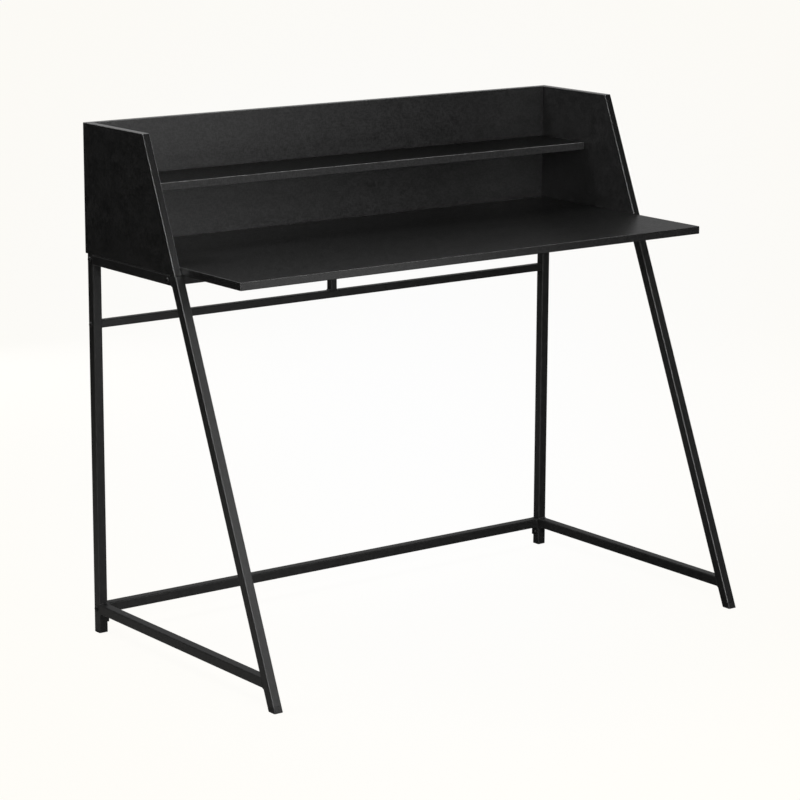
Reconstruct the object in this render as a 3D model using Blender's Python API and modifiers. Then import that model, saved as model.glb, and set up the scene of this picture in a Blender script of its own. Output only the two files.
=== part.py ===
"""Computer desk with a hutch: black boards on a black square-tube frame.

Metres, +Z up, the desk's front faces -Y.  The origin lies on the floor, in the
middle of the width and of the depth.  Run with blender --background --python.
"""

import math

import bmesh
import bpy
from mathutils import Euler, Matrix

# Overall sizes
WIDTH = 1.108             # outer face to outer face
DESK_HEIGHT = 0.750       # floor to the writing surface
HUTCH_HEIGHT = 0.230      # writing surface to the top of the hutch
BASE_DEPTH = 0.612        # front of the front feet to the back of the rear legs
REAR_OVERHANG = 0.007     # hutch past the back of the rear legs
LEAN_DEGREES = 22.7       # front legs and hutch sides, from the vertical

# Boards
DESKTOP_THICKNESS = 0.015
SIDE_THICKNESS = 0.015
BACK_THICKNESS = 0.015
SHELF_THICKNESS = 0.015
DESKTOP_DEPTH = 0.484     # from the back panel to the front edge
SHELF_DEPTH = 0.133       # from the back panel to the front edge
SHELF_RISE = 0.1275       # writing surface to the top of the shelf
ARRIS = 0.0010            # eased edge of every board

# Steel tube
TUBE = 0.019              # legs, side rails and cross rails
TUBE_RADIUS = 0.0025
TUBE_WALL = 0.0012
SLIM_TUBE = 0.015         # rear middle rail and its post
SLIM_RADIUS = 0.0022
SLIM_WALL = 0.0012
CORNER_STEPS = 3

# Rail places
LOW_RAIL_HEIGHT = 0.057   # floor to the top of the low rails
MID_RAIL_HEIGHT = 0.609   # floor to the top of the rear middle rail
FRONT_RAIL_SETBACK = 0.0075   # centre of the front rail behind the back of the front leg
PLATE_THICKNESS = 0.0025
PLATE_DROP = 0.018        # ear plate below the low rail
EAR_BOLT_DROP = 0.011     # ear bolt's centre below the low rail

# Feet
FRONT_FOOT_HEIGHT = 0.011
REAR_FOOT_HEIGHT = 0.004
FOOT_PLUG_LENGTH = 0.008
FOOT_ROUND = 0.0022

# Fasteners
BOLT_DIAMETER = 0.006
BOLT_HEAD_DIAMETER = 0.0105
BOLT_HEAD_HEIGHT = 0.0030
BOLT_SOCKET = 0.004       # across the flats
BOLT_SOCKET_DEPTH = 0.0018
BOLT_GRIP = 0.011         # length of thread in the rail's end nut
EAR_BOLT_LENGTH = 0.010
END_NUT_LENGTH = 0.014
SCREW_DIAMETER = 0.004
SCREW_HEAD_DIAMETER = 0.008
SCREW_HEAD_HEIGHT = 0.0024
SCREW_SOCKET = 0.0025
SCREW_SOCKET_DEPTH = 0.0012
SCREW_BITE = 0.010        # length of thread in a board
DRIVER_HOLE = 0.0095      # under a screw, for its head and the driver
DESKTOP_FIXING_X = 0.330      # from the middle of the desk
PANEL_SCREW_INSET = 0.050     # from the ends of the side rail
DOWEL_DIAMETER = 0.006
DOWEL_LENGTH = 0.024
DOWEL_DEPTH = 0.008       # in a panel's face, the rest is in the edge of the other board
SHELF_DOWEL_INSET = 0.030
BACK_DOWEL_INSET = 0.045
ROUND_STEPS = 12

# Fits
SEAT_GAP = 0.0003         # between pieces that touch
HOLE_CLEARANCE = 0.0004   # on the diameter of a bolt, screw or dowel hole
PLUG_CLEARANCE = 0.0003   # each side of a plug in a tube

# Derived places
LEAN = math.tan(math.radians(LEAN_DEGREES))
HALF_WIDTH = WIDTH / 2
TOTAL_DEPTH = BASE_DEPTH + REAR_OVERHANG
FOOT_FRONT_Y = -TOTAL_DEPTH / 2
LEG_REAR_Y = FOOT_FRONT_Y + BASE_DEPTH
HUTCH_REAR_Y = LEG_REAR_Y + REAR_OVERHANG
BACK_FRONT_Y = HUTCH_REAR_Y - BACK_THICKNESS
DESKTOP_REAR_Y = BACK_FRONT_Y - SEAT_GAP
DESKTOP_FRONT_Y = BACK_FRONT_Y - DESKTOP_DEPTH
SHELF_FRONT_Y = BACK_FRONT_Y - SHELF_DEPTH
BOARD_BASE_Z = DESK_HEIGHT - DESKTOP_THICKNESS
FRAME_TOP_Z = BOARD_BASE_Z - SEAT_GAP
HUTCH_TOP_Z = DESK_HEIGHT + HUTCH_HEIGHT
SHELF_TOP_Z = DESK_HEIGHT + SHELF_RISE
SIDE_INNER_X = HALF_WIDTH - SIDE_THICKNESS
BOARD_HALF_X = SIDE_INNER_X - SEAT_GAP
LEG_X = HALF_WIDTH - TUBE / 2
LEG_INNER_X = HALF_WIDTH - TUBE
RAIL_END_X = LEG_INNER_X - SEAT_GAP
REAR_LEG_Y = LEG_REAR_Y - TUBE / 2
SLANT = math.sqrt(1 + LEAN * LEAN)
SLANT_TUBE = TUBE * SLANT
TOP_RAIL_Z = FRAME_TOP_Z - TUBE / 2
LOW_RAIL_Z = LOW_RAIL_HEIGHT - TUBE / 2
MID_RAIL_Z = MID_RAIL_HEIGHT - SLIM_TUBE / 2
EAR_BOLT_Z = LOW_RAIL_HEIGHT - TUBE - EAR_BOLT_DROP


def leg_front_y(z):
    """Front face of the sloped front legs, which the hutch sides follow."""
    return FOOT_FRONT_Y + LEAN * z


def leg_back_y(z):
    return leg_front_y(z) + SLANT_TUBE


FRONT_RAIL_Y = leg_back_y(TOP_RAIL_Z) + FRONT_RAIL_SETBACK

for old in list(bpy.data.objects):
    bpy.data.objects.remove(old, do_unlink=True)

parts = bpy.data.collections.new("computer_desk_with_hutch")
cutters = bpy.data.collections.new("cutters")
bpy.context.scene.collection.children.link(parts)
bpy.context.scene.collection.children.link(cutters)


def make_material(name, color, roughness, metallic=0.0):
    material = bpy.data.materials.new(name)
    material.use_nodes = True
    shader = material.node_tree.nodes["Principled BSDF"]
    shader.inputs["Base Color"].default_value = (*color, 1.0)
    shader.inputs["Roughness"].default_value = roughness
    shader.inputs["Metallic"].default_value = metallic
    return material


BOARD_BLACK = make_material("board_black", (0.020, 0.020, 0.020), 0.48)
FRAME_BLACK = make_material("frame_black", (0.018, 0.018, 0.018), 0.42)
BOLT_BLACK = make_material("bolt_black", (0.012, 0.012, 0.012), 0.35, 0.6)
FOOT_BLACK = make_material("foot_black", (0.010, 0.010, 0.010), 0.55)
NUT_STEEL = make_material("nut_steel", (0.55, 0.55, 0.55), 0.35, 1.0)
DOWEL_WOOD = make_material("dowel_wood", (0.62, 0.45, 0.27), 0.60)

desk = bpy.data.objects.new("desk", None)
parts.objects.link(desk)


def add_part(name, mesh, material, location, rotation=(0, 0, 0)):
    """A named piece of the desk, parented to the desk's empty."""
    mesh.materials.clear()
    mesh.materials.append(material)
    part = bpy.data.objects.new(name, mesh)
    part.location = location
    part.rotation_euler = rotation
    part.parent = desk
    parts.objects.link(part)
    return part


def finish_mesh(mesh):
    """Weld the seams and point the faces outward."""
    work = bmesh.new()
    work.from_mesh(mesh)
    bmesh.ops.remove_doubles(work, verts=work.verts, dist=0.000005)
    bmesh.ops.recalc_face_normals(work, faces=work.faces)
    work.to_mesh(mesh)
    work.free()
    return mesh


def baked_mesh(source):
    """The mesh of an object after its modifiers, with the object removed."""
    bpy.context.view_layer.update()
    graph = bpy.context.evaluated_depsgraph_get()
    mesh = bpy.data.meshes.new_from_object(source.evaluated_get(graph), depsgraph=graph)
    bpy.data.objects.remove(source, do_unlink=True)
    return finish_mesh(mesh)


def extruded_mesh(name, loops, length):
    """A flat outline, with any inner loops as holes, extruded along Z."""
    curve = bpy.data.curves.new(name, "CURVE")
    curve.dimensions = "2D"
    curve.fill_mode = "BOTH"
    curve.extrude = length / 2
    for loop in loops:
        spline = curve.splines.new("POLY")
        spline.points.add(len(loop) - 1)
        for point, (x, y) in zip(spline.points, loop):
            point.co = (x, y, 0, 1)
        spline.use_cyclic_u = True
    source = bpy.data.objects.new(name, curve)
    parts.objects.link(source)
    return baked_mesh(source)


def rounded_square(size, radius, stretch=1.0):
    """Corner points of a square section, its second side stretched."""
    points = []
    for corner in range(4):
        middle = math.radians(45 + 90 * corner)
        cx = math.copysign(size / 2 - radius, math.cos(middle))
        cy = math.copysign(size / 2 - radius, math.sin(middle))
        for step in range(CORNER_STEPS + 1):
            angle = math.radians(90 * corner + 90 * step / CORNER_STEPS)
            x = cx + radius * math.cos(angle)
            y = cy + radius * math.sin(angle)
            points.append((x, y * stretch))
    return points


def tube_mesh(name, size, radius, wall, length, stretch=1.0):
    outer = rounded_square(size, radius, stretch)
    inner = rounded_square(size - 2 * wall, max(radius - wall, wall / 4), stretch)
    return extruded_mesh(name, [outer, inner], length)


def box_mesh(name, x, y, z):
    mesh = bpy.data.meshes.new(name)
    work = bmesh.new()
    bmesh.ops.create_cube(work, size=1.0, matrix=Matrix.Diagonal((x, y, z, 1)))
    work.to_mesh(mesh)
    work.free()
    return mesh


def ease_edges(part, width=ARRIS):
    bevel = part.modifiers.new("eased_edges", "BEVEL")
    bevel.width = width
    bevel.segments = 2
    bevel.limit_method = "ANGLE"
    return part


def axis_rotation(axis):
    """Rotation that turns local Z to a signed world axis."""
    return {
        "+X": (0, math.pi / 2, 0),
        "-X": (0, -math.pi / 2, 0),
        "+Y": (-math.pi / 2, 0, 0),
        "-Y": (math.pi / 2, 0, 0),
        "+Z": (0, 0, 0),
        "-Z": (math.pi, 0, 0),
    }[axis]


def drill(part, holes):
    """Cut round holes: each is a start point, an axis, a diameter and a depth."""
    mesh = bpy.data.meshes.new(part.name + "_drill")
    work = bmesh.new()
    for start, axis, diameter, depth in holes:
        turn = Euler(axis_rotation(axis)).to_matrix().to_4x4()
        place = Matrix.Translation(start) @ turn @ Matrix.Translation((0, 0, depth / 2))
        bmesh.ops.create_cone(
            work, cap_ends=True, segments=ROUND_STEPS, radius1=diameter / 2,
            radius2=diameter / 2, depth=depth, matrix=place,
        )
    work.to_mesh(mesh)
    work.free()
    cutter = bpy.data.objects.new(part.name + "_drill", mesh)
    cutter.hide_render = True
    cutter.display_type = "WIRE"
    cutters.objects.link(cutter)
    cut = part.modifiers.new("drilled", "BOOLEAN")
    cut.object = cutter
    cut.operation = "DIFFERENCE"


def turned_mesh(name, profile, socket=0.0, socket_depth=0.0, socket_top=0.0):
    """A profile of (radius, height), top to bottom, turned round Z."""
    mesh = bpy.data.meshes.new(name)
    edges = [(i, i + 1) for i in range(len(profile) - 1)]
    mesh.from_pydata([(r, 0, z) for r, z in profile], edges, [])
    source = bpy.data.objects.new(name, mesh)
    parts.objects.link(source)
    screw = source.modifiers.new("turn", "SCREW")
    screw.steps = ROUND_STEPS
    screw.render_steps = ROUND_STEPS
    screw.use_merge_vertices = True
    screw.merge_threshold = 0.000005
    if socket:
        hexagon = bpy.data.meshes.new(name + "_socket")
        work = bmesh.new()
        radius = socket / 2 / math.cos(math.radians(30))
        bmesh.ops.create_cone(
            work, cap_ends=True, segments=6, radius1=radius, radius2=radius,
            depth=2 * socket_depth, matrix=Matrix.Translation((0, 0, socket_top)),
        )
        work.to_mesh(hexagon)
        work.free()
        key = bpy.data.objects.new(name + "_socket", hexagon)
        key.hide_render = True
        key.display_type = "WIRE"
        cutters.objects.link(key)
        cut = source.modifiers.new("hex_socket", "BOOLEAN")
        cut.object = key
        cut.operation = "DIFFERENCE"
    turned = baked_mesh(source)
    turned.shade_smooth()
    turned.set_sharp_from_angle(angle=math.radians(35))
    return turned


def fastener_profile(diameter, head_diameter, head_height, length):
    """Button head above Z = 0, plain shank below it."""
    lip = head_height * 0.25
    crown = head_diameter * 0.30
    rows = [(0, head_height), (crown, head_height)]
    for step in (1, 2):
        angle = math.radians(90 * step / 3)
        rows.append((
            crown + (head_diameter / 2 - crown) * math.sin(angle),
            lip + (head_height - lip) * math.cos(angle),
        ))
    rows.append((head_diameter / 2, lip))
    rows.append((head_diameter / 2, 0))
    rows.append((diameter / 2, 0))
    tip = diameter * 0.12
    rows.append((diameter / 2, tip - length))
    rows.append((diameter / 2 - tip, -length))
    rows.append((0, -length))
    return rows


def bolt_mesh(name, length):
    profile = fastener_profile(BOLT_DIAMETER, BOLT_HEAD_DIAMETER, BOLT_HEAD_HEIGHT, length)
    return turned_mesh(name, profile, BOLT_SOCKET, BOLT_SOCKET_DEPTH, BOLT_HEAD_HEIGHT)


def screw_mesh(name, length):
    profile = fastener_profile(SCREW_DIAMETER, SCREW_HEAD_DIAMETER, SCREW_HEAD_HEIGHT, length)
    return turned_mesh(name, profile, SCREW_SOCKET, SCREW_SOCKET_DEPTH, SCREW_HEAD_HEIGHT)


def dowel_mesh(name):
    mesh = bpy.data.meshes.new(name)
    work = bmesh.new()
    bmesh.ops.create_cone(work, cap_ends=True, segments=ROUND_STEPS, radius1=DOWEL_DIAMETER / 2,
                          radius2=DOWEL_DIAMETER / 2, depth=DOWEL_LENGTH)
    work.to_mesh(mesh)
    work.free()
    return mesh


BOLT_HOLE = BOLT_DIAMETER + HOLE_CLEARANCE
SCREW_HOLE = SCREW_DIAMETER + HOLE_CLEARANCE
DOWEL_HOLE = DOWEL_DIAMETER + HOLE_CLEARANCE

# Board screws: the head bears inside the tube on its top wall
BOARD_SCREW_Z = FRAME_TOP_Z - TUBE_WALL - SEAT_GAP
board_screw = screw_mesh("board_screw", TUBE_WALL + 2 * SEAT_GAP + SCREW_BITE)


def board_screw_holes(x, y):
    """A rail's holes for a board screw: its own, and the driver's in the wall below."""
    cut = TUBE_WALL + 2 * SEAT_GAP
    return [((x, y, BOARD_SCREW_Z), "+Z", SCREW_HOLE, cut),
            ((x, y, FRAME_TOP_Z - TUBE - SEAT_GAP), "+Z", DRIVER_HOLE, cut)]


# Boards: the desktop, back and shelf fit between the two side panels
desktop_depth = DESKTOP_REAR_Y - DESKTOP_FRONT_Y
desktop = ease_edges(add_part(
    "desktop",
    box_mesh("desktop", 2 * BOARD_HALF_X, desktop_depth, DESKTOP_THICKNESS),
    BOARD_BLACK,
    (0, (DESKTOP_FRONT_Y + DESKTOP_REAR_Y) / 2, DESK_HEIGHT - DESKTOP_THICKNESS / 2),
))

back_height = HUTCH_TOP_Z - BOARD_BASE_Z
back_panel = ease_edges(add_part(
    "back_panel",
    box_mesh("back_panel", 2 * BOARD_HALF_X, BACK_THICKNESS, back_height),
    BOARD_BLACK,
    (0, (BACK_FRONT_Y + HUTCH_REAR_Y) / 2, BOARD_BASE_Z + back_height / 2),
))

shelf_rear_y = BACK_FRONT_Y - SEAT_GAP
hutch_shelf = ease_edges(add_part(
    "hutch_shelf",
    box_mesh("hutch_shelf", 2 * BOARD_HALF_X, shelf_rear_y - SHELF_FRONT_Y, SHELF_THICKNESS),
    BOARD_BLACK,
    (0, (shelf_rear_y + SHELF_FRONT_Y) / 2, SHELF_TOP_Z - SHELF_THICKNESS / 2),
))

# Side panels: an outline in depth and height, extruded through its thickness
side_outline = [
    (leg_front_y(BOARD_BASE_Z), BOARD_BASE_Z),
    (HUTCH_REAR_Y, BOARD_BASE_Z),
    (HUTCH_REAR_Y, HUTCH_TOP_Z),
    (leg_front_y(HUTCH_TOP_Z), HUTCH_TOP_Z),
]
stand_up = Matrix(((0, 0, 1, 0), (1, 0, 0, 0), (0, 1, 0, 0), (0, 0, 0, 1)))
side_panels = {}
for side, sign in (("left", -1), ("right", 1)):
    panel_mesh = extruded_mesh(side + "_side_panel", [side_outline], SIDE_THICKNESS)
    panel_mesh.transform(stand_up)
    side_panels[side] = ease_edges(add_part(
        side + "_side_panel", panel_mesh, BOARD_BLACK,
        (sign * (HALF_WIDTH - SIDE_THICKNESS / 2), 0, 0),
    ))

# End frames: an upright rear leg, a sloped front leg and two rails between them
slope = Matrix.Shear("XY", 4, (0, LEAN))
rear_leg_base = REAR_FOOT_HEIGHT + SEAT_GAP
front_leg_base = FRONT_FOOT_HEIGHT + SEAT_GAP
rail_rear_y = LEG_REAR_Y - TUBE - SEAT_GAP


def side_rail_mesh(name, z, middle_y):
    """A rail along Y whose front end is cut to the slope of the front leg."""
    mesh = tube_mesh(name, TUBE, TUBE_RADIUS, TUBE_WALL, 2 * (rail_rear_y - middle_y))
    for vertex in mesh.vertices:
        if vertex.co.z > 0:
            front = leg_back_y(z + vertex.co.y) + SEAT_GAP
            vertex.co.z = middle_y - front
    return mesh


rear_legs = {}
top_rails = {}
for side, sign in (("left", -1), ("right", 1)):
    height = FRAME_TOP_Z - rear_leg_base
    rear_legs[side] = add_part(
        side + "_rear_leg",
        tube_mesh(side + "_rear_leg", TUBE, TUBE_RADIUS, TUBE_WALL, height),
        FRAME_BLACK, (sign * LEG_X, REAR_LEG_Y, rear_leg_base + height / 2),
    )

    height = FRAME_TOP_Z - front_leg_base
    middle = front_leg_base + height / 2
    leg_mesh = tube_mesh(side + "_front_leg", TUBE, TUBE_RADIUS, TUBE_WALL, height, SLANT)
    leg_mesh.transform(slope)
    add_part(
        side + "_front_leg", leg_mesh, FRAME_BLACK,
        (sign * LEG_X, leg_front_y(middle) + SLANT_TUBE / 2, middle),
    )

    for level, z in (("top", TOP_RAIL_Z), ("bottom", LOW_RAIL_Z)):
        middle_y = (rail_rear_y + leg_back_y(z)) / 2
        name = side + "_" + level + "_rail"
        rail = add_part(
            name, side_rail_mesh(name, z, middle_y), FRAME_BLACK,
            (sign * LEG_X, middle_y, z), axis_rotation("-Y"),
        )
        if level == "top":
            top_rails[side] = rail

# Cross rails between the end frames, and the post on the rear middle rail
PLATE_OUTER_X = RAIL_END_X
PLATE_INNER_X = PLATE_OUTER_X - PLATE_THICKNESS
LOW_RAIL_END_X = PLATE_INNER_X - SEAT_GAP
cross_rail_plan = {
    "front_cross_rail": (TUBE, TUBE_RADIUS, TUBE_WALL, RAIL_END_X, FRONT_RAIL_Y, TOP_RAIL_Z),
    "rear_top_cross_rail": (TUBE, TUBE_RADIUS, TUBE_WALL, RAIL_END_X, REAR_LEG_Y, TOP_RAIL_Z),
    "rear_middle_cross_rail":
        (SLIM_TUBE, SLIM_RADIUS, SLIM_WALL, RAIL_END_X, REAR_LEG_Y, MID_RAIL_Z),
    "rear_bottom_cross_rail":
        (TUBE, TUBE_RADIUS, TUBE_WALL, LOW_RAIL_END_X, REAR_LEG_Y, LOW_RAIL_Z),
}
cross_rails = {}
for name, (size, radius, wall, end_x, y, z) in cross_rail_plan.items():
    cross_rails[name] = add_part(
        name, tube_mesh(name, size, radius, wall, 2 * end_x), FRAME_BLACK,
        (0, y, z), axis_rotation("+X"),
    )

post_base = MID_RAIL_HEIGHT + SEAT_GAP
post_top = FRAME_TOP_Z - TUBE - SEAT_GAP
add_part(
    "rear_center_post",
    tube_mesh("rear_center_post", SLIM_TUBE, SLIM_RADIUS, SLIM_WALL, post_top - post_base),
    FRAME_BLACK, (0, REAR_LEG_Y, (post_base + post_top) / 2),
)

# Ear plates on the ends of the rear bottom rail
ear_plates = {}
plate_base = LOW_RAIL_HEIGHT - TUBE - PLATE_DROP
plate_height = LOW_RAIL_HEIGHT - plate_base
for side, sign in (("left", -1), ("right", 1)):
    ear_plates[side] = ease_edges(add_part(
        side + "_ear_plate",
        box_mesh(side + "_ear_plate", PLATE_THICKNESS, TUBE, plate_height),
        FRAME_BLACK,
        (sign * (PLATE_OUTER_X + PLATE_INNER_X) / 2, REAR_LEG_Y, plate_base + plate_height / 2),
    ), ARRIS / 2)

# End nuts inside the cross rails, and the bolts that reach them from outside
bolt_length = TUBE + SEAT_GAP + BOLT_GRIP
plate_bolt_length = bolt_length + PLATE_THICKNESS + SEAT_GAP
long_bolt = bolt_mesh("frame_bolt", bolt_length)
plate_bolt = bolt_mesh("plate_bolt", plate_bolt_length)
ear_bolt = bolt_mesh("ear_bolt", EAR_BOLT_LENGTH)
short_names = {
    "front_cross_rail": "front",
    "rear_top_cross_rail": "rear_top",
    "rear_middle_cross_rail": "rear_middle",
    "rear_bottom_cross_rail": "rear_bottom",
}
for side, sign, outward, inward in (("left", -1, "-X", "+X"), ("right", 1, "+X", "-X")):
    leg_holes = []
    for rail_name, (size, radius, wall, end_x, y, z) in cross_rail_plan.items():
        place = short_names[rail_name]
        nut_size = size - 2 * (wall + PLUG_CLEARANCE)
        nut_radius = max(radius - wall - PLUG_CLEARANCE, wall / 4)
        nut = add_part(
            side + "_" + place + "_end_nut",
            extruded_mesh(side + "_" + place + "_nut", [rounded_square(nut_size, nut_radius)],
                          END_NUT_LENGTH),
            NUT_STEEL, (sign * (end_x - END_NUT_LENGTH / 2), y, z), axis_rotation("+X"),
        )
        drill(nut, [((sign * (end_x + SEAT_GAP), y, z), inward, BOLT_HOLE,
                     END_NUT_LENGTH + 2 * SEAT_GAP)])
        head_x = sign * (HALF_WIDTH + SEAT_GAP)
        on_plate = rail_name == "rear_bottom_cross_rail"
        add_part(
            side + "_" + place + "_bolt", plate_bolt if on_plate else long_bolt,
            BOLT_BLACK, (head_x, y, z), axis_rotation(outward),
        )
        through = (head_x, y, z), inward, BOLT_HOLE, TUBE + 2 * SEAT_GAP
        if rail_name == "front_cross_rail":
            front_holes = [through]
        else:
            leg_holes.append(through)

    # The ear plate's lower bolt enters the leg's inner wall only
    ear_x = sign * (PLATE_INNER_X - SEAT_GAP)
    add_part(side + "_ear_bolt", ear_bolt, BOLT_BLACK, (ear_x, REAR_LEG_Y, EAR_BOLT_Z),
             axis_rotation(inward))
    ear_hole = (ear_x, REAR_LEG_Y, EAR_BOLT_Z), outward, BOLT_HOLE
    leg_holes.append((*ear_hole, PLATE_THICKNESS + 2 * TUBE_WALL + 3 * SEAT_GAP))
    drill(rear_legs[side], leg_holes)
    low_start = (ear_x, REAR_LEG_Y, LOW_RAIL_Z)
    plate_cut = PLATE_THICKNESS + 2 * SEAT_GAP
    drill(ear_plates[side], [(*ear_hole, plate_cut), (low_start, outward, BOLT_HOLE, plate_cut)])

    # Screws up out of the top side rail into the side panel's bottom edge
    panel_x = sign * (HALF_WIDTH - SIDE_THICKNESS / 2)
    panel_holes = []
    front_screw_y = FRONT_RAIL_Y + PANEL_SCREW_INSET
    rear_screw_y = rail_rear_y - PANEL_SCREW_INSET
    for place, y in (("front", front_screw_y), ("rear", rear_screw_y)):
        add_part(side + "_panel_" + place + "_screw", board_screw, BOLT_BLACK,
                 (panel_x, y, BOARD_SCREW_Z), axis_rotation("-Z"))
        front_holes.extend(board_screw_holes(panel_x, y))
        panel_holes.append(((panel_x, y, BOARD_BASE_Z - SEAT_GAP), "+Z", SCREW_HOLE,
                            SCREW_BITE + 3 * SEAT_GAP))
    drill(top_rails[side], front_holes)

    # Dowels between the side panel and the ends of the shelf and the back
    side_start = sign * (SIDE_INNER_X - SEAT_GAP)
    dowel_end = sign * (SIDE_INNER_X + DOWEL_DEPTH)
    dowel_rows = {
        "shelf_front": (SHELF_FRONT_Y + SHELF_DOWEL_INSET, SHELF_TOP_Z - SHELF_THICKNESS / 2),
        "shelf_rear": (shelf_rear_y - SHELF_DOWEL_INSET, SHELF_TOP_Z - SHELF_THICKNESS / 2),
        "back_upper": (HUTCH_REAR_Y - BACK_THICKNESS / 2, HUTCH_TOP_Z - BACK_DOWEL_INSET),
        "back_lower": (HUTCH_REAR_Y - BACK_THICKNESS / 2, BOARD_BASE_Z + BACK_DOWEL_INSET),
    }
    for place, (y, z) in dowel_rows.items():
        add_part(side + "_" + place + "_dowel", dowel_mesh("dowel"), DOWEL_WOOD,
                 (dowel_end - sign * DOWEL_LENGTH / 2, y, z), axis_rotation("+X"))
        panel_holes.append(((side_start, y, z), outward, DOWEL_HOLE,
                            DOWEL_DEPTH + 2 * SEAT_GAP))
    drill(side_panels[side], panel_holes)

# Matching dowel holes in the ends of the shelf and the back
board_hole = DOWEL_LENGTH - DOWEL_DEPTH + SEAT_GAP
back_holes = []
shelf_holes = []
for board_holes, places in ((shelf_holes, ("shelf_front", "shelf_rear")),
                            (back_holes, ("back_upper", "back_lower"))):
    for sign, inward in ((-1, "+X"), (1, "-X")):
        for place in places:
            y, z = dowel_rows[place]
            board_holes.append(((sign * SIDE_INNER_X, y, z), inward, DOWEL_HOLE, board_hole))

# The desktop: screws up out of the front rail, dowels along its rear edge into the back
desktop_dowel_z = DESK_HEIGHT - DESKTOP_THICKNESS / 2
desktop_dowel_y = BACK_FRONT_Y + DOWEL_DEPTH - DOWEL_LENGTH / 2
desktop_holes = []
rail_holes = []
for side, sign in (("left", -1), ("right", 1)):
    x = sign * DESKTOP_FIXING_X
    add_part(side + "_desktop_screw", board_screw, BOLT_BLACK, (x, FRONT_RAIL_Y, BOARD_SCREW_Z),
             axis_rotation("-Z"))
    rail_holes.extend(board_screw_holes(x, FRONT_RAIL_Y))
    desktop_holes.append(((x, FRONT_RAIL_Y, BOARD_BASE_Z - SEAT_GAP), "+Z", SCREW_HOLE,
                          SCREW_BITE + 3 * SEAT_GAP))
    add_part(side + "_desktop_dowel", dowel_mesh("dowel"), DOWEL_WOOD,
             (x, desktop_dowel_y, desktop_dowel_z), axis_rotation("+Y"))
    desktop_holes.append(((x, BACK_FRONT_Y, desktop_dowel_z), "-Y", DOWEL_HOLE, board_hole))
    back_holes.append(((x, BACK_FRONT_Y - SEAT_GAP, desktop_dowel_z), "+Y", DOWEL_HOLE,
                       DOWEL_DEPTH + 2 * SEAT_GAP))
drill(cross_rails["front_cross_rail"], rail_holes)
drill(desktop, desktop_holes)
drill(back_panel, back_holes)
drill(hutch_shelf, shelf_holes)


def foot_mesh(name, height, stretch):
    """A cap under the tube's end with a plug that goes up inside it."""
    cap = extruded_mesh(name, [rounded_square(TUBE, TUBE_RADIUS, stretch)], height)
    cap.transform(Matrix.Translation((0, 0, height / 2)))
    work = bmesh.new()
    work.from_mesh(cap)
    rim = [e for e in work.edges if all(v.co.z < height * 0.1 for v in e.verts)
           and any(f.normal.z > -0.5 for f in e.link_faces)]
    bmesh.ops.bevel(work, geom=rim, offset=min(FOOT_ROUND, height * 0.6), segments=2,
                    profile=0.5, affect="EDGES", clamp_overlap=True)
    work.to_mesh(cap)
    work.free()
    plug_size = TUBE - 2 * (TUBE_WALL + PLUG_CLEARANCE)
    plug_radius = max(TUBE_RADIUS - TUBE_WALL - PLUG_CLEARANCE, TUBE_WALL / 4)
    inside = height / 2
    plug = extruded_mesh(name + "_plug", [rounded_square(plug_size, plug_radius, stretch)],
                         FOOT_PLUG_LENGTH + inside)
    plug.transform(Matrix.Translation((0, 0, height + (FOOT_PLUG_LENGTH - inside) / 2)))
    plug_object = bpy.data.objects.new(name + "_plug", plug)
    cutters.objects.link(plug_object)
    cap_object = bpy.data.objects.new(name, cap)
    parts.objects.link(cap_object)
    join = cap_object.modifiers.new("plug", "BOOLEAN")
    join.operation = "UNION"
    join.object = plug_object
    mesh = baked_mesh(cap_object)
    bpy.data.objects.remove(plug_object, do_unlink=True)
    return mesh


for side, sign in (("left", -1), ("right", 1)):
    add_part(side + "_rear_foot", foot_mesh(side + "_rear_foot", REAR_FOOT_HEIGHT, 1.0),
             FOOT_BLACK, (sign * LEG_X, REAR_LEG_Y, 0))
    sloped_foot = foot_mesh(side + "_front_foot", FRONT_FOOT_HEIGHT, SLANT)
    sloped_foot.transform(slope)
    add_part(side + "_front_foot", sloped_foot, FOOT_BLACK,
             (sign * LEG_X, FOOT_FRONT_Y + SLANT_TUBE / 2, 0))
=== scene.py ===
"""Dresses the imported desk: eased boards and tubes, weld beads, turned bolts and their finishes, then
the camera and the studio. Lengths are in metres, in the part's own frame."""

import math

import bmesh
import bpy
from mathutils import Matrix, Vector


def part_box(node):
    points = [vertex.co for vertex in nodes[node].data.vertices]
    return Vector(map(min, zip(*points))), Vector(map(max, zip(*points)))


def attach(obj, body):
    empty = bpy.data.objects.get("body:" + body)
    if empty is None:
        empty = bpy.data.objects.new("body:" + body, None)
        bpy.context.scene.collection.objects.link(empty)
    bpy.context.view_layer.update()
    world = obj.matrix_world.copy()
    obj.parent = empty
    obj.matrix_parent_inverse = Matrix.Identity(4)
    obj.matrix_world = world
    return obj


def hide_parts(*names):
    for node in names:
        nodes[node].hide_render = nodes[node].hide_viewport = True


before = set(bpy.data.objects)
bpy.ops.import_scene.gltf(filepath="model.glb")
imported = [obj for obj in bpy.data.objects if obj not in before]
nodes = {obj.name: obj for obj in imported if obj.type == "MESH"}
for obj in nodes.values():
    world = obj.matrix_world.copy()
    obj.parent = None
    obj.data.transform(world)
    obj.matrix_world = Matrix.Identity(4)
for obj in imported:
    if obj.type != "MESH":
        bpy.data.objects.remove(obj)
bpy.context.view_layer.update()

AXES = "XYZ"
SIDES = ("left", "right")

# The desk's own measures, as in the part's source
LEAN = math.tan(math.radians(22.7))
SLANT = math.sqrt(1 + LEAN * LEAN)
SLOPE_FACE = (0.0, -1 / SLANT, LEAN / SLANT)
TUBE_RADIUS = 0.0025
SLIM_RADIUS = 0.0022
TUBE_WALL = 0.0012
DRIVER_HOLE = 0.0095

# How finely the pieces are rounded
BOARD_ARRIS = 0.0012
ARRIS_STEPS = 5
CORNER_STEPS = 7
DRILL_SIDES = 40
SHARP = math.radians(38)
RUNS_ALONG = 0.3


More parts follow.
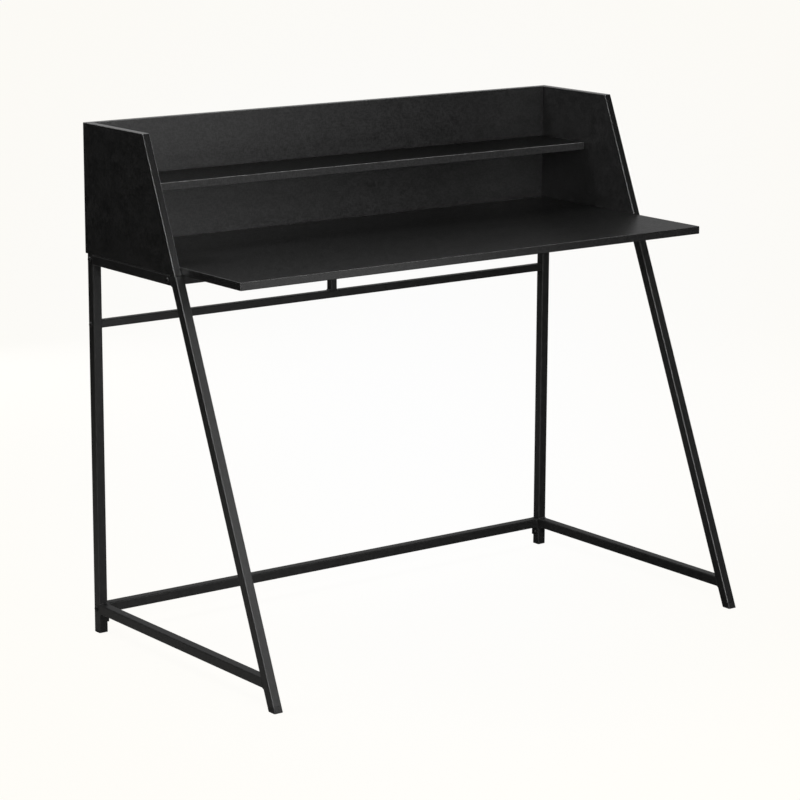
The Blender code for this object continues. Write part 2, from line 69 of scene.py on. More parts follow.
class Wire:
    """A shader socket that works in Python arithmetic."""

    def __init__(self, finish, socket):
        self.finish = finish
        self.socket = socket

    def maths(self, operation, first, second):
        node = self.finish.add("ShaderNodeMath", {"operation": operation}, {0: first, 1: second})
        return node["Value"]

    def __add__(self, other):
        return self.maths("ADD", self, other)

    def __radd__(self, other):
        return self.maths("ADD", other, self)

    def __sub__(self, other):
        return self.maths("SUBTRACT", self, other)

    def __rsub__(self, other):
        return self.maths("SUBTRACT", other, self)

    def __mul__(self, other):
        return self.maths("MULTIPLY", self, other)

    def __rmul__(self, other):
        return self.maths("MULTIPLY", other, self)

    def __truediv__(self, other):
        return self.maths("DIVIDE", self, other)

    def __rtruediv__(self, other):
        return self.maths("DIVIDE", other, self)

    def __pow__(self, other):
        return self.maths("POWER", self, other)

    def __abs__(self):
        return self.maths("ABSOLUTE", self, 0.0)


class Finish:
    """The node tree of a material or the world, and the one way to add a node to it."""

    def __init__(self, owner):
        owner.use_nodes = True
        self.owner = owner
        self.tree = owner.node_tree
        self.tree.nodes.clear()

    def add(self, kind, settings=None, inputs=None):
        """A new node's outputs by name. Its settings are set before its sockets."""
        node = self.tree.nodes.new(kind)
        for name, value in (settings or {}).items():
            setattr(node, name, value)
        for name, value in (inputs or {}).items():
            if isinstance(value, Wire):
                self.tree.links.new(value.socket, node.inputs[name])
            else:
                node.inputs[name].default_value = value
        return {socket.name: Wire(self, socket) for socket in node.outputs if socket.enabled}

    def place(self):
        return self.add("ShaderNodeTexCoord")["Object"]

    def split(self, vector):
        parts = self.add("ShaderNodeSeparateXYZ", None, {"Vector": vector})
        return parts["X"], parts["Y"], parts["Z"]

    def step(self, value, low, high):
        """0 below low, 1 above high, smooth between."""
        settings = {"interpolation_type": "SMOOTHSTEP", "clamp": True}
        inputs = {"Value": value, "From Min": low, "From Max": high}
        return self.add("ShaderNodeMapRange", settings, inputs)["Result"]

    def blend(self, share, first, second):
        """A colour between two colours."""
        return self.add("ShaderNodeMix", {"data_type": "RGBA"}, {0: share, 6: first, 7: second})["Result"]

    def shade(self, share, tone, low, high):
        """A grey between two shares of a tone."""
        return self.blend(share, grey(tone * low), grey(tone * high))

    def noise(self, place, scale, detail, roughness):
        inputs = {"Vector": place, "Scale": scale, "Detail": detail, "Roughness": roughness}
        return self.add("ShaderNodeTexNoise", {"noise_dimensions": "3D"}, inputs)["Fac"]

    def pull(self, place, axis, share):
        """The place with one axis scaled, so that a pattern is drawn out or squeezed along it."""
        scale = [share if way == axis else 1.0 for way in AXES]
        return self.add("ShaderNodeVectorMath", {"operation": "MULTIPLY"}, {0: place, 1: scale})["Vector"]

    def dot(self, first, second):
        inputs = {0: first, 1: second}
        return self.add("ShaderNodeVectorMath", {"operation": "DOT_PRODUCT"}, inputs)["Value"]

    def largest(self, values):
        most = values[0]
        for value in values[1:]:
            most = most.maths("MAXIMUM", most, value)
        return most

    def facing(self, slope=None):
        """How squarely a face looks along X, Y, Z and the slope, each 0 to 1, and how far it looks up."""
        flat = self.add("ShaderNodeNewGeometry")["True Normal"]
        parts = self.split(flat)
        sides = [abs(part) for part in parts]
        if slope:
            sides.append(abs(self.dot(flat, slope)))
        return sides, parts[2]

    def bump(self, height, distance, strength):
        inputs = {"Height": height, "Distance": distance, "Strength": strength}
        return self.add("ShaderNodeBump", None, inputs)["Normal"]

    def background(self, color, strength):
        inputs = {"Color": color, "Strength": strength}
        return self.add("ShaderNodeBackground", None, inputs)["Background"]

    def mix(self, share, first, second):
        """A shader between two shaders."""
        return self.add("ShaderNodeMixShader", None, {0: share, 1: first, 2: second})["Shader"]

    def surface(self, shader, output="ShaderNodeOutputMaterial"):
        self.add(output, None, {"Surface": shader})
        return self.owner

    def principled(self, inputs):
        return self.surface(self.add("ShaderNodeBsdfPrincipled", None, inputs)["BSDF"])


def grey(level):
    return (level, level, level, 1.0)


def new_material(name):
    return Finish(bpy.data.materials.new(name))


# Black foil of the boards. Scales are waves per metre, and a span is where a mask starts and ends
FIBRE_SCALE = 330.0
FIBRE_PULL = 0.40
WEAVE_SCALE = 170.0
WEAVE_PULL = 2.5
FOIL_SPAN = (0.45, 0.55)
FOIL_RELIEF = 0.00030
FOIL_RELIEF_STRENGTH = 0.7
CLOUD_SCALE = 48.0
CLOUD_SPAN = (0.36, 0.64)
DARK_SHARES = (0.15, 0.37)
LIGHT_SHARES = (0.55, 1.0)
FLECK_ROUGHNESS = 0.08
CLOUD_ROUGHNESS = 0.06
PLAIN_MATTE = 0.33
FOIL_INDEX = 1.6

# The edge band of the boards, and the painted highlight on their upward-facing arrises, paler in patches
BAND_SPAN = (0.90, 0.97)
BAND_TONE = 0.0140
BAND_SHARES = (0.68, 1.0)
BAND_ROUGHNESS = 0.26
BAND_COAT_ROUGHNESS = 0.12
BAND_COAT_INDEX = 1.5
UPWARD_SPAN = (0.50, 0.80)
ARRIS_SPAN = (0.955, 0.995)
ARRIS_UPWARD_SPAN = (-0.5, 0.0)
HIGHLIGHT_PATCH_SCALE = 90.0
HIGHLIGHT_PATCH_SPAN = (0.30, 0.62)
ARRIS_HIGHLIGHT_SHARES = (0.4, 1.0)


def board_finish(name, grain, thickness, tone, fleck, mottle, matte, arris_highlight, slope=None,
                 edge=BAND_TONE, index=FOIL_INDEX):
    """Black foil board. grain is the axis of its length and thickness the axis through it. tone is
    how pale its face is, fleck how far its fibres stand out, mottle how far its clouds do, matte how
    rough it is, and arris_highlight how pale the painted highlight on its upward arrises is. slope is
    the way its sloped edge faces, edge how pale its edge band is, and index the foil's refractive index."""
    finish = new_material(name)
    place = finish.place()
    sides, up = finish.facing(slope)
    band = 1 - finish.step(sides[AXES.index(thickness)], *BAND_SPAN)
    # The arris mask covers only the upward-facing arrises, where a highlight is painted paler
    arris = (1 - finish.step(finish.largest(sides), *ARRIS_SPAN)) * finish.step(up, *ARRIS_UPWARD_SPAN)
    fibres = finish.noise(finish.pull(place, grain, FIBRE_PULL), FIBRE_SCALE, detail=4.0, roughness=0.65)
    weave = finish.noise(finish.pull(place, grain, WEAVE_PULL), WEAVE_SCALE, detail=3.0, roughness=0.60)
    height = fibres * 0.5 + weave * 0.5
    foil = (finish.step(height, *FOIL_SPAN) - 0.5) * fleck + 0.5
    cloud = finish.noise(place, CLOUD_SCALE, detail=5.0, roughness=0.65)
    bloom = (finish.step(cloud, *CLOUD_SPAN) - 0.5) * mottle + 0.5
    dark = finish.shade(bloom, tone, *DARK_SHARES)
    light = finish.shade(bloom, tone, *LIGHT_SHARES)
    outside = finish.blend(band, finish.blend(foil, dark, light), finish.shade(foil, edge, *BAND_SHARES))
    # Painted highlight: the upward arrises are painted paler, in patches
    highlight_patches = finish.step(finish.noise(place, HIGHLIGHT_PATCH_SCALE, detail=3.0, roughness=0.6), *HIGHLIGHT_PATCH_SPAN)
    painted_highlight = finish.shade(highlight_patches, arris_highlight, *ARRIS_HIGHLIGHT_SHARES)
    uneven = foil * FLECK_ROUGHNESS + bloom * CLOUD_ROUGHNESS + (matte - PLAIN_MATTE)
    return finish.principled({
        "Base Color": finish.blend(arris, outside, painted_highlight),
        "Roughness": BAND_ROUGHNESS + (1 - band) * uneven,
        "Normal": finish.bump(height * (1 - band), FOIL_RELIEF, FOIL_RELIEF_STRENGTH),
        "IOR": index,
        "Coat Weight": band * finish.step(up, *UPWARD_SPAN),
        "Coat Roughness": BAND_COAT_ROUGHNESS,
        "Coat IOR": BAND_COAT_INDEX,
    })


# Black powder coat of the tubes
PEEL_SCALE = 1300.0
PEEL_SHARE = 0.6
PEEL_RELIEF = 0.00008
COAT_CLOUD_SCALE = 60.0
COAT_SPAN = (0.35, 0.65)
COAT_TONES = (0.0075, 0.0120)
COAT_ROUGHNESS = 0.34
COAT_CLOUD_ROUGHNESS = 0.12
CORNER_SPAN = (0.90, 0.985)
CORNER_HIGHLIGHT_TONES = (0.014, 0.036)
CORNER_POLISH = 0.10
COAT_INDEX = 1.5


def powder_coat(name, slope):
    """Black powder coat on steel tube: a fine even peel, glossier on the corners, and a painted highlight
    that paints the corners paler.
    """
    finish = new_material(name)
    place = finish.place()
    sides = finish.facing(slope)[0]
    corner = 1 - finish.step(finish.largest(sides), *CORNER_SPAN)
    peel = finish.noise(place, PEEL_SCALE, detail=2.0, roughness=0.5)
    cloud = finish.noise(place, COAT_CLOUD_SCALE, detail=3.0, roughness=0.6)
    thickness = finish.step(peel * PEEL_SHARE + cloud * (1 - PEEL_SHARE), *COAT_SPAN)
    coat = finish.shade(thickness, 1.0, *COAT_TONES)
    # Painted highlight: the rounded corners are painted paler, in clouds
    painted_highlight = finish.shade(cloud, 1.0, *CORNER_HIGHLIGHT_TONES)
    return finish.principled({
        "Base Color": finish.blend(corner, coat, painted_highlight),
        "Roughness": COAT_ROUGHNESS + cloud * COAT_CLOUD_ROUGHNESS - corner * CORNER_POLISH,
        "Normal": finish.bump(peel, PEEL_RELIEF, strength=0.5),
        "IOR": COAT_INDEX,
    })


def small_finish(name, scale, detail, crisp, colors, roughness, span=None, along_x=None, relief=None,
                 index=1.5, metallic=0.0):
    """A finish of one fine grain, for small pieces. crisp is how far the grain's fine waves count,
    colors and roughness are each a pair that the grain moves between, span sharpens the grain's
    colour, along_x draws it out, and relief is its height and strength."""
    finish = new_material(name)
    place = finish.place()
    if along_x:
        place = finish.pull(place, "X", along_x)
    grain = finish.noise(place, scale, detail, crisp)
    share = finish.step(grain, *span) if span else grain
    smoothest, roughest = roughness
    inputs = {
        "Base Color": finish.blend(share, *colors),
        "Roughness": smoothest + grain * (roughest - smoothest),
        "IOR": index,
        "Metallic": metallic,
    }
    if relief:
        inputs["Normal"] = finish.bump(grain, *relief)
    return finish.principled(inputs)


# The four boards are one black foil. As painted shade, the level boards' faces are darker than the back and
# sides against the light from above, and the shelf's face is darkest; as painted light, the shelf's edge
# band is paler. Each board's painted arris highlight has its own strength
BOARD_LEVEL = board_finish("black_board_level", "X", "Z", tone=0.0160, fleck=0.85, mottle=0.4,
                           matte=0.35, arris_highlight=0.09)
BOARD_SHELF = board_finish("black_board_shelf", "X", "Z", tone=0.0060, fleck=0.85, mottle=0.4,
                           matte=0.38, arris_highlight=0.20, edge=0.034, index=1.33)
BOARD_BACK = board_finish("black_board_back", "X", "Y", tone=0.0215, fleck=0.92, mottle=0.4,
                          matte=0.35, arris_highlight=0.11)
BOARD_SIDE = board_finish("black_board_side", "Z", "X", tone=0.0215, fleck=0.68, mottle=0.6,
                          matte=0.35, arris_highlight=0.15, slope=SLOPE_FACE)
POWDER_COAT = powder_coat("black_powder_coat", SLOPE_FACE)
BLACK_OXIDE = small_finish("black_oxide_steel", scale=1600.0, detail=3.0, crisp=0.6,
                           colors=(grey(0.0025), grey(0.0060)), roughness=(0.46, 0.62),
                           span=(0.35, 0.7), relief=(0.00004, 0.4), index=1.45)
FOOT_PLASTIC = small_finish("black_foot_plastic", scale=2200.0, detail=2.0, crisp=0.5,
                            colors=(grey(0.006), grey(0.010)), roughness=(0.52, 0.64),
                            relief=(0.00006, 0.5))
ZINC_STEEL = small_finish("zinc_steel", scale=1500.0, detail=3.0, crisp=0.6,
                          colors=(grey(0.42), grey(0.56)), roughness=(0.28, 0.48),
                          along_x=0.1, metallic=1.0)
BEECH = small_finish("beech_dowel", scale=900.0, detail=4.0, crisp=0.6,
                     colors=((0.46, 0.29, 0.15, 1.0), (0.62, 0.43, 0.25, 1.0)),
                     roughness=(0.55, 0.70), along_x=0.12)

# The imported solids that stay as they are
for ending, material in (("_plate", POWDER_COAT), ("_screw", BLACK_OXIDE), ("_foot", FOOT_PLASTIC),
                         ("_nut", ZINC_STEEL), ("_dowel", BEECH)):
    for name in nodes:
        if name.endswith(ending):
            nodes[name].data.materials.clear()
            nodes[name].data.materials.append(material)


def spot(node):
    """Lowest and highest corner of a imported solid, and its middle."""
    low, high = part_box(node)
    return low, high, (low + high) / 2


def add_piece(name, mesh, material, slot, *stands_for):
    """A piece of the desk, in place of one or more plain solids if any are named."""
    mesh.materials.append(material)
    piece = bpy.data.objects.new(name, mesh)
    bpy.context.scene.collection.objects.link(piece)
    shading = piece.modifiers.new("even_shading", "WEIGHTED_NORMAL")
    shading.keep_sharp = True
    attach(piece, "root")
    if stands_for:
        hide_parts(*stands_for)


def smooth_mesh(name, work):
    """The mesh of a bmesh, shaded smooth but for its sharp edges."""
    bmesh.ops.recalc_face_normals(work, faces=work.faces)
    for face in work.faces:
        face.smooth = True
    for edge in work.edges:
        edge.smooth = edge.calc_face_angle(0.0) < SHARP
    mesh = bpy.data.meshes.new(name)
    work.to_mesh(mesh)
    work.free()
    return mesh


def skin(work, rings, closed=False):
    """Faces between rows of points that run round a section."""
    pairs = list(zip(rings, rings[1:]))
    if closed:
        pairs.append((rings[-1], rings[0]))
    for first, second in pairs:
        for here in range(len(first)):
            after = (here + 1) % len(first)
            work.faces.new((first[here], first[after], second[after], second[here]))


# Boards
def lifted(axis, across, up, level):
    """A point of an outline, set at a level along the axis through the board."""
    return {"X": (level, across, up), "Y": (across, level, up), "Z": (across, up, level)}[axis]


def board_mesh(name, axis, outline, levels, eased):
    """An outline drawn through its thickness, the arrises along the eased axes rounded."""
    work = bmesh.new()
    rings = [[work.verts.new(lifted(axis, a, b, level)) for a, b in outline] for level in levels]
    skin(work, rings)
    for ring in rings:
        work.faces.new(ring)
    bmesh.ops.recalc_face_normals(work, faces=work.faces)
    arrises = []
    for edge in work.edges:
        run = (edge.verts[1].co - edge.verts[0].co).normalized()
        if any(abs(run[AXES.index(way)]) > RUNS_ALONG for way in eased):
            arrises.append(edge)
    bmesh.ops.bevel(work, geom=arrises, offset=BOARD_ARRIS, offset_type="OFFSET",
                    segments=ARRIS_STEPS, profile=0.5, affect="EDGES")
    return smooth_mesh(name, work)


def add_board(name, axis, material, node, eased=AXES, slope=0.0):
    """A board as large as its solid; axis runs through it, and slope cuts its front end back."""
    low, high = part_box(node)
    level = AXES.index(axis)
    across, up = (way for way in range(3) if way != level)
    front_top = low[across] + slope * (high[up] - low[up])
    outline = [(low[across], low[up]), (high[across], low[up]), (high[across], high[up]),
               (front_top, high[up])]
    mesh = board_mesh(name, axis, outline, (low[level], high[level]), eased)
    add_piece(name, mesh, material, "board", node)


add_board("desktop_board", "Z", BOARD_LEVEL, "desktop")
add_board("shelf_board", "Z", BOARD_SHELF, "hutch_shelf", eased="X")
add_board("back_board", "Y", BOARD_BACK, "back_panel", eased="X")
for side in SIDES:
    add_board(side + "_side_board", "X", BOARD_SIDE, side + "_side_panel", slope=LEAN)


# Steel tube
def section(size, radius):
    """Points round a square section with rounded corners."""
    points = []
    for corner in range(4):
        middle = math.radians(45 + 90 * corner)
        center_u = math.copysign(size / 2 - radius, math.cos(middle))
        center_v = math.copysign(size / 2 - radius, math.sin(middle))
        for step in range(CORNER_STEPS + 1):
            angle = math.radians(90 * corner + 90 * step / CORNER_STEPS)
            points.append((center_u + radius * math.cos(angle), center_v + radius * math.sin(angle)))
    return points


def tube_mesh(name, size, radius, place):
    """A hollow tube; place gives the point for a section's u and v at the end 0 or 1."""
    work = bmesh.new()
    outer = section(size, radius)
    inner = section(size - 2 * TUBE_WALL, max(radius - TUBE_WALL, TUBE_WALL / 3))
    rings = []
    for points, end in ((outer, 0), (outer, 1), (inner, 1), (inner, 0)):
        rings.append([work.verts.new(place(u, v, end)) for u, v in points])
    skin(work, rings, closed=True)
    return smooth_mesh(name, work)


def drilled(mesh, name, centers):
    """The mesh with a driver hole cut along Z at each centre."""
    work = bmesh.new()
    for center in centers:
        bmesh.ops.create_cone(work, cap_ends=True, segments=DRILL_SIDES, radius1=DRIVER_HOLE / 2,
                              radius2=DRIVER_HOLE / 2, depth=4 * TUBE_WALL,
                              matrix=Matrix.Translation(center))
    drill_mesh = bpy.data.meshes.new(name + "_drill")
    work.to_mesh(drill_mesh)
    work.free()
    blank = bpy.data.objects.new(name + "_blank", mesh)
    drill = bpy.data.objects.new(name + "_drill", drill_mesh)
    for item in (blank, drill):
        bpy.context.scene.collection.objects.link(item)
    cut = blank.modifiers.new("drill", "BOOLEAN")
    cut.object = drill
    cut.operation = "DIFFERENCE"
    cut.solver = "EXACT"
    bpy.context.view_layer.update()
    graph = bpy.context.evaluated_depsgraph_get()
    result = bpy.data.meshes.new_from_object(blank.evaluated_get(graph), depsgraph=graph)
    for item in (blank, drill):
        bpy.data.objects.remove(item, do_unlink=True)
    result.name = name
    result.shade_smooth()
    result.set_sharp_from_angle(angle=SHARP)
    return result


def add_tube(node, radius, place, size, screws=()):
    """A tube in place of its solid, with a hole in its bottom wall under each board screw, for the
    screw's head and the driver."""
    name = node + "_tube"
    mesh = tube_mesh(name, size, radius, place)
    if screws:
        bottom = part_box(node)[0][2]
        middles = [spot(screw)[2] for screw in screws]
        mesh = drilled(mesh, name, [(middle[0], middle[1], bottom) for middle in middles])
    add_piece(name, mesh, POWDER_COAT, "frame", node)


for node, radius, screws in (
        ("front_cross_rail", TUBE_RADIUS, ("left_desktop_screw", "right_desktop_screw")),
        ("rear_top_cross_rail", TUBE_RADIUS, ()),
        ("rear_middle_cross_rail", SLIM_RADIUS, ()),
        ("rear_bottom_cross_rail", TUBE_RADIUS, ())):
    low, high, middle = spot(node)

    def along_x(u, v, end):
        return ((low[0], high[0])[end], middle[1] + u, middle[2] + v)

    add_tube(node, radius, along_x, high[2] - low[2], screws)

for node, radius in (("rear_center_post", SLIM_RADIUS), ("left_rear_leg", TUBE_RADIUS),
                     ("right_rear_leg", TUBE_RADIUS)):
    low, high, middle = spot(node)

    def upright(u, v, end):
        return (middle[0] + u, middle[1] + v, (low[2], high[2])[end])

    add_tube(node, radius, upright, high[0] - low[0])


def rail_front(low, z):
    """Where the front end of a side rail meets the sloped leg at a height."""
    return low[1] + LEAN * (z - low[2])


for side in SIDES:
    node = side + "_front_leg"
    low, high, middle = spot(node)
    size = high[0] - low[0]

    def sloped(u, v, end):
        z = (low[2], high[2])[end]
        return (middle[0] + u, low[1] + size * SLANT / 2 + LEAN * (z - low[2]) + v * SLANT, z)

    add_tube(node, TUBE_RADIUS, sloped, size)

    for level, screws in (("top", (side + "_panel_front_screw", side + "_panel_rear_screw")),
                          ("bottom", ())):
        node = side + "_" + level + "_rail"
        low, high, middle = spot(node)

        def along_y(u, v, end):
            z = middle[2] + v
            return (middle[0] + u, (rail_front(low, z), high[1])[end], z)

        add_tube(node, TUBE_RADIUS, along_y, high[0] - low[0], screws)


# Welds: a bead round each tube that is joined for good. Flush and bare beads have no room to rise
WELD_REACH = 0.0015
WELD_SINK = 0.0004
WELD_FILLET = 0.0016
WELD_FLUSH = 0.0003
WELD_BARE = 0.0001
WELD_STEPS = 132
WELD_ARC = 6
WELD_RIPPLES = 33
RIPPLE_HEIGHT = 0.10
RIPPLE_REACH = 0.06


def walk_round(size, radius):
    """Even points round a square section with rounded corners, each with its outward way."""
    flat = size - 2 * radius
    side = flat + math.pi * radius / 2
    spots = []
    for step in range(WELD_STEPS):
        corner, along = divmod(4 * side * step / WELD_STEPS, side)
        angle = max(along - flat, 0.0) / radius
        u = flat / 2 + radius * math.cos(angle)
        v = min(along, flat) - flat / 2 + radius * math.sin(angle)
        turn = math.pi / 2 * corner
        cos, sin = math.cos(turn), math.sin(turn)
        spots.append((u * cos - v * sin, u * sin + v * cos, math.cos(angle + turn), math.sin(angle + turn)))
    return spots


def add_weld(name, size, radius, place, proud):
    """place gives the point for a section's u and v and a run along the tube; proud is the
    height of the bead on the sides towards +u, -u, +v and -v."""
    work = bmesh.new()
    rings = []
    for step, (u, v, out_u, out_v) in enumerate(walk_round(size, radius)):
        wave = math.sin(2 * math.pi * WELD_RIPPLES * step / WELD_STEPS)
        shares = (out_u, -out_u, out_v, -out_v)
        rise = sum(height * max(share, 0.0) ** 2 for height, share in zip(proud, shares))
        ring = []
        for turn in range(WELD_ARC + 1):
            angle = math.pi * turn / WELD_ARC
            lift = rise * (1 + RIPPLE_HEIGHT * wave) * math.sin(angle)
            run = WELD_REACH * (1 + RIPPLE_REACH * wave) * math.cos(angle)
            ring.append(work.verts.new(place(u + out_u * lift, v + out_v * lift, run)))
        for run in (-WELD_REACH, WELD_REACH):
            ring.append(work.verts.new(place(u - out_u * WELD_SINK, v - out_v * WELD_SINK, run)))
        rings.append(ring)
    skin(work, rings, closed=True)
    add_piece(name, smooth_mesh(name, work), POWDER_COAT, "frame")


for side in SIDES:
    for level, over in (("top", WELD_BARE), ("bottom", WELD_FILLET)):
        node = side + "_" + level + "_rail"
        low, high, middle = spot(node)
        proud = (WELD_FLUSH, WELD_FLUSH, over, WELD_FILLET)

        def at_rear_leg(u, v, run):
            return (middle[0] + u, high[1] + run, middle[2] + v)

        def at_front_leg(u, v, run):
            return (middle[0] + u, rail_front(low, middle[2] + v) + run, middle[2] + v)

        add_weld(node + "_rear_weld", high[0] - low[0], TUBE_RADIUS, at_rear_leg, proud)
        add_weld(node + "_front_weld", high[0] - low[0], TUBE_RADIUS, at_front_leg, proud)

low, high, middle = spot("rear_center_post")
for level, height, along in (("bottom", low[2], WELD_FLUSH), ("top", high[2], WELD_FILLET)):

    def on_post(u, v, run):
        return (middle[0] + u, middle[1] + v, height + run)

    add_weld("rear_center_post_" + level + "_weld", high[0] - low[0], SLIM_RADIUS, on_post,
             (WELD_FILLET, WELD_FILLET, along, along))

low, high, middle = spot("rear_bottom_cross_rail")
for side, rail_end in zip(SIDES, (low[0], high[0])):

    def on_rail_end(u, v, run):
        return (rail_end + run, middle[1] + u, middle[2] + v)

    add_weld(side + "_ear_plate_weld", high[2] - low[2], TUBE_RADIUS, on_rail_end,
             (WELD_FLUSH, WELD_FLUSH, WELD_FLUSH, WELD_FILLET))


# Bolts: turned button heads with a six-sided socket
BOLT_SIDES = 36
BOLT_TURN = math.radians(23)
HEAD_RADIUS = 0.00525
HEAD_HEIGHT = 0.0030
HEAD_FLAT = 0.0029
HEAD_RIM = 0.0005
DOME_STEPS = 8
SHANK_RADIUS = 0.0030
SHANK_TIP = 0.0005
SOCKET_FLAT = 0.0020
SOCKET_DEPTH = 0.0018
SOCKET_EASE = 0.00012


def six_sided(flat):
    return lambda angle: flat / math.cos((angle + math.pi / 6) % (math.pi / 3) - math.pi / 6)


def round_of(radius):
    return lambda angle: radius


def bolt_rows(length):
    """Rows of a bolt from its socket's floor over the head to the tip: outline and depth."""
    dome_drop = HEAD_HEIGHT - HEAD_RIM
    dome_depth = (HEAD_RADIUS ** 2 - HEAD_FLAT ** 2 + dome_drop ** 2) / (2 * dome_drop)
    dome_radius = math.hypot(HEAD_FLAT, dome_depth)
    first = math.asin(HEAD_FLAT / dome_radius)
    last = math.asin(HEAD_RADIUS / dome_radius)
    rows = [(six_sided(SOCKET_FLAT), SOCKET_DEPTH), (six_sided(SOCKET_FLAT), SOCKET_EASE),
            (six_sided(SOCKET_FLAT + SOCKET_EASE), 0.0)]
    for step in range(DOME_STEPS + 1):
        angle = first + (last - first) * step / DOME_STEPS
        rows.append((round_of(dome_radius * math.sin(angle)), dome_depth - dome_radius * math.cos(angle)))
    rows.append((round_of(HEAD_RADIUS), HEAD_HEIGHT - SOCKET_EASE))
    rows.append((round_of(HEAD_RADIUS - SOCKET_EASE), HEAD_HEIGHT))
    rows.append((round_of(SHANK_RADIUS), HEAD_HEIGHT))
    rows.append((round_of(SHANK_RADIUS), length - SHANK_TIP))
    rows.append((round_of(SHANK_RADIUS - SHANK_TIP), length))
    return rows


def add_bolt(node, start):
    """A bolt in place of its solid, its socket turned by the start angle."""
    low, high, middle = spot(node)
    inner, outer = sorted((low[0], high[0]), key=abs)
    top, tip = (inner, outer) if node.endswith("_ear_bolt") else (outer, inner)
    way = math.copysign(1.0, tip - top)
    work = bmesh.new()
    rings = []
    for outline, depth in bolt_rows(abs(tip - top)):
        ring = []
        for step in range(BOLT_SIDES):
            angle = 2 * math.pi * step / BOLT_SIDES
            reach = outline(angle)
            y = middle[1] + reach * math.cos(angle + start)
            z = middle[2] + reach * math.sin(angle + start)
            ring.append(work.verts.new((top + way * depth, y, z)))
        rings.append(ring)
    skin(work, rings)
    work.faces.new(rings[0])
    work.faces.new(rings[-1])
    name = node.replace("_bolt", "_button_bolt")
    add_piece(name, smooth_mesh(name, work), BLACK_OXIDE, "fastener", node)


for count, node in enumerate(sorted(name for name in nodes if name.endswith("_bolt"))):
    add_bolt(node, BOLT_TURN * count)


# Camera at the photograph's view; angles are in degrees
SENSOR = 36.0
LENS = 128.38
HEADING = -36.8912
LOOKS_DOWN = 12.5606
ROLL = 0.2572
CAMERA_PLACE = (-3.2412, -4.2521, 1.6286)
FARTHEST = 200.0


def make_camera():
    data = bpy.data.cameras.new("camera")
    data.sensor_width = SENSOR
    data.lens = LENS
    data.clip_end = FARTHEST
    camera = bpy.data.objects.new("camera", data)
    bpy.context.scene.collection.objects.link(camera)
    heading = Matrix.Rotation(math.radians(HEADING), 4, "Z")
    pitch = Matrix.Rotation(math.radians(90 - LOOKS_DOWN), 4, "X")
    roll = Matrix.Rotation(math.radians(ROLL), 4, "Z")
    camera.matrix_world = Matrix.Translation(CAMERA_PLACE) @ heading @ pitch @ roll
    bpy.context.scene.camera = camera


make_camera()

# Studio paper: white in a pool of light behind the desk, warmer away from it
PAPER = (1.0, 0.984, 0.940, 1.0)
WHITE = grey(1.0)
BLACK = grey(0.0)
FLOOR_HALF = 30.0
FLOOR_LEVEL = -0.0005
AHEAD_X = 0.6
AHEAD_Y = 0.8
BEAM_START = 5.37
POOL_DISTANCE = 7.33
POOL_WIDTH = 1.03
POOL_DEPTH = 0.64
POOL_EDGE = 1.5
PAPER_GLOW = 0.97

# Where the floor shines in the desk: centre, inner and outer radius
SHINE_POOLS = (((-1.2, 0.5), 0.6, 2.2), ((4.6, 0.1), 1.0, 2.6), ((0.9, 4.7), 0.8, 2.4))
SHINE_LEVEL = 0.3

# The backdrop that shines in the desk, and the dim room round it
BACKDROP_AHEAD_SPAN = (0.45, 0.85)
BACKDROP_HEIGHT_SPAN = (-0.08, 0.06)
BACKDROP_LEVEL = 0.28
ROOM_LEVEL = 0.05


def make_floor():
    """A paper sweep. The pool of light on it narrows towards the front, as the beam of a lamp above
    the camera does."""
    mesh = bpy.data.meshes.new("floor")
    ends = ((-1, -1), (1, -1), (1, 1), (-1, 1))
    corners = [(x * FLOOR_HALF, y * FLOOR_HALF, FLOOR_LEVEL) for x, y in ends]
    mesh.from_pydata(corners, [], [(0, 1, 2, 3)])
    floor = bpy.data.objects.new("floor", mesh)
    bpy.context.scene.collection.objects.link(floor)
    finish = new_material("floor_paper")
    x, y = finish.split(finish.place())[:2]
    spread = POOL_DISTANCE / (x * AHEAD_X + y * AHEAD_Y + BEAM_START)
    across = (x * AHEAD_Y - y * AHEAD_X) * spread / POOL_WIDTH
    along = (spread - 1) / POOL_DEPTH
    away = (across * across + along * along) ** 0.5
    color = finish.blend(finish.step(away, 0.0, POOL_EDGE), WHITE, PAPER)
    pools = []
    for (pool_x, pool_y), inner, outer in SHINE_POOLS:
        off_x = x - pool_x
        off_y = y - pool_y
        pools.append(1 - finish.step((off_x * off_x + off_y * off_y) ** 0.5, inner, outer))
    mirrored = finish.blend(finish.largest(pools) * SHINE_LEVEL, BLACK, color)
    path = finish.add("ShaderNodeLightPath")
    matte = finish.blend(path["Is Glossy Ray"], color, mirrored)
    diffuse = finish.add("ShaderNodeBsdfDiffuse", None, {"Color": matte})["BSDF"]
    glow = finish.add("ShaderNodeEmission", None, {"Color": color, "Strength": 1.0})["Emission"]
    paper = finish.mix(path["Is Camera Ray"] * PAPER_GLOW, diffuse, glow)
    mesh.materials.append(finish.surface(paper))


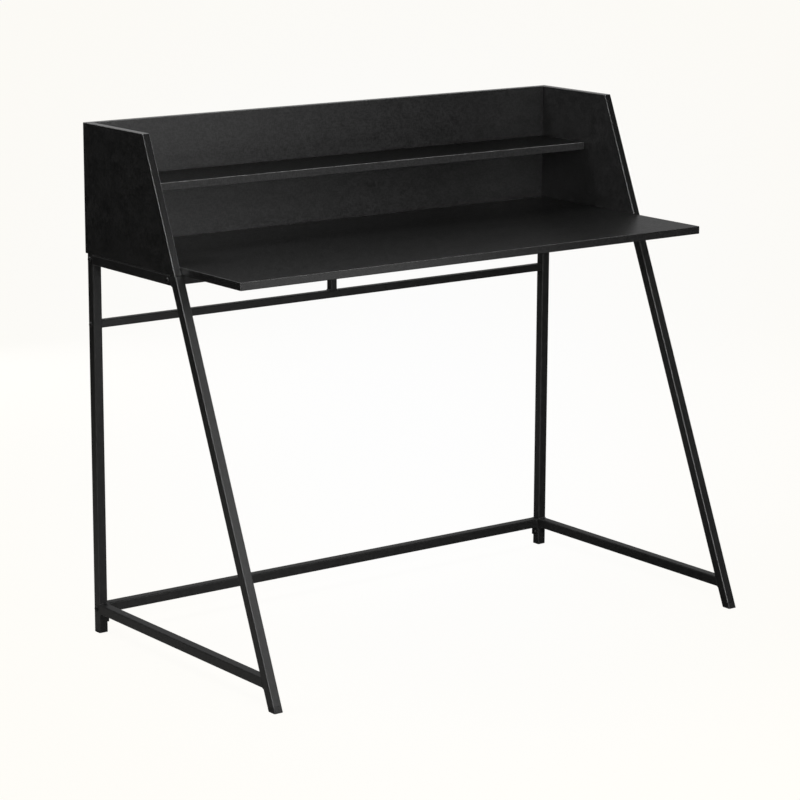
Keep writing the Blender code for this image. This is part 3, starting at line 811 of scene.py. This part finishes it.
def make_world():
    """Paper for the camera, a soft backdrop for reflections, and a dim even room for the rest."""
    world = bpy.data.worlds.new("studio")
    bpy.context.scene.world = world
    finish = Finish(world)
    x, y, z = finish.split(finish.add("ShaderNodeTexCoord")["Generated"])
    ahead = finish.step(x * AHEAD_X + y * AHEAD_Y, *BACKDROP_AHEAD_SPAN)
    level = ahead * finish.step(z, *BACKDROP_HEIGHT_SPAN) * BACKDROP_LEVEL
    room = finish.background(grey(ROOM_LEVEL), 1.0)
    backdrop = finish.background(WHITE, level)
    paper = finish.background(PAPER, 1.0)
    path = finish.add("ShaderNodeLightPath")
    unseen = finish.mix(path["Is Glossy Ray"], room, backdrop)
    finish.surface(finish.mix(path["Is Camera Ray"], unseen, paper), "ShaderNodeOutputWorld")


make_floor()
make_world()

# Softboxes, all aimed at the hutch: place, width and height, power in watts, and whether it shines
AIM = Vector((0.0, 0.1, 0.8))
LAMPS = {
    "front_key": ((-0.33, -2.35, 1.13), (0.8, 0.8), 30.0, True),
    "high_front": ((-1.46, -2.08, 1.98), (0.5, 0.5), 29.0, True),
    "right_fill": ((1.00, -2.15, 1.13), (0.8, 0.8), 2.8, True),
    "high_right": ((0.88, -2.18, 1.66), (0.5, 0.5), 2.5, True),
    "low_front": ((0.95, -2.03, 0.28), (0.8, 0.45), 1.1, True),
    "overhead_left": ((-1.20, 0.95, 2.65), (0.8, 0.8), 32.0, True),
    "right_side": ((2.70, 0.60, 1.10), (1.2, 1.0), 14.0, True),
    "rear": ((0.20, 2.90, 0.70), (1.0, 0.8), 26.0, False),
}

for name, (place, (width, height), power, shines) in LAMPS.items():
    data = bpy.data.lights.new(name, "AREA")
    data.shape = "RECTANGLE"
    data.size = width
    data.size_y = height
    data.energy = power
    lamp = bpy.data.objects.new(name, data)
    bpy.context.scene.collection.objects.link(lamp)
    lamp.location = place
    lamp.rotation_euler = (AIM - Vector(place)).to_track_quat("-Z", "Y").to_euler()
    lamp.visible_camera = False
    lamp.visible_glossy = shines

bpy.context.scene.view_settings.view_transform = "Standard"
